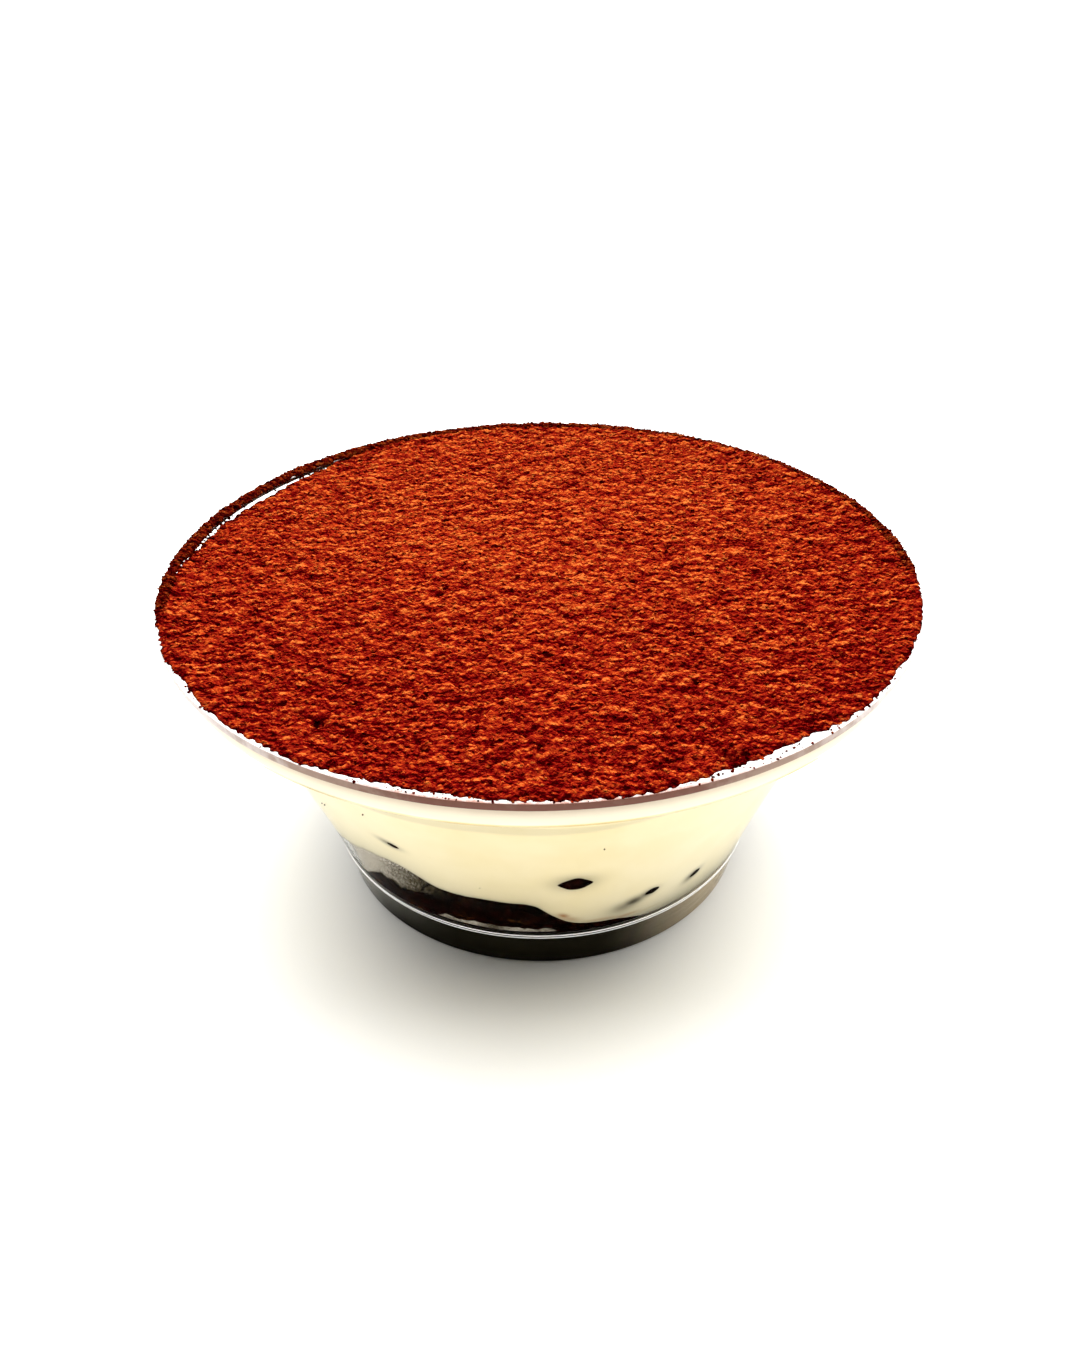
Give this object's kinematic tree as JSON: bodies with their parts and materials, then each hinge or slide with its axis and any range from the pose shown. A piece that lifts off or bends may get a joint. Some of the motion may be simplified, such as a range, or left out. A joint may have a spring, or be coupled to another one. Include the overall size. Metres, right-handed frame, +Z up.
{
  "type": "tiramisu dessert in a clear cup",
  "caption": "Tiramisu in a wide flared clear plastic cup: coffee-soaked sponge under pale cream, filled to the rim and covered with cocoa powder.",
  "frame": {"origin": "on the surface that the cup stands on, at the middle of its foot", "axes": "+Z up along the cup's axis, -Y towards the side where the sponge's edge dips to the floor, +X to that view's right"},
  "size_m": [0.117, 0.117, 0.0525],
  "materials": {
    "clear_plastic": "clear polished polystyrene, thin-walled, with fine scuffs and a dusting of cocoa on the rim",
    "cream": "smooth pale yellow whipped cream, soft and slightly translucent, greyish where sponge lies just behind it",
    "sponge": "wet, nearly black coffee-soaked sponge with reddish brown crumbs",
    "cocoa": "dry red-brown cocoa powder, grainy, with darker specks and clumps"
  },
  "bodies": {
    "root": {"cup": "clear_plastic", "cream": "cream", "sponge": "sponge", "cocoa": "cocoa", "sponge_bit_1": "sponge", "sponge_bit_2": "sponge", "sponge_bit_3": "sponge", "sponge_bit_4": "sponge"}
  },
  "joints": []
}
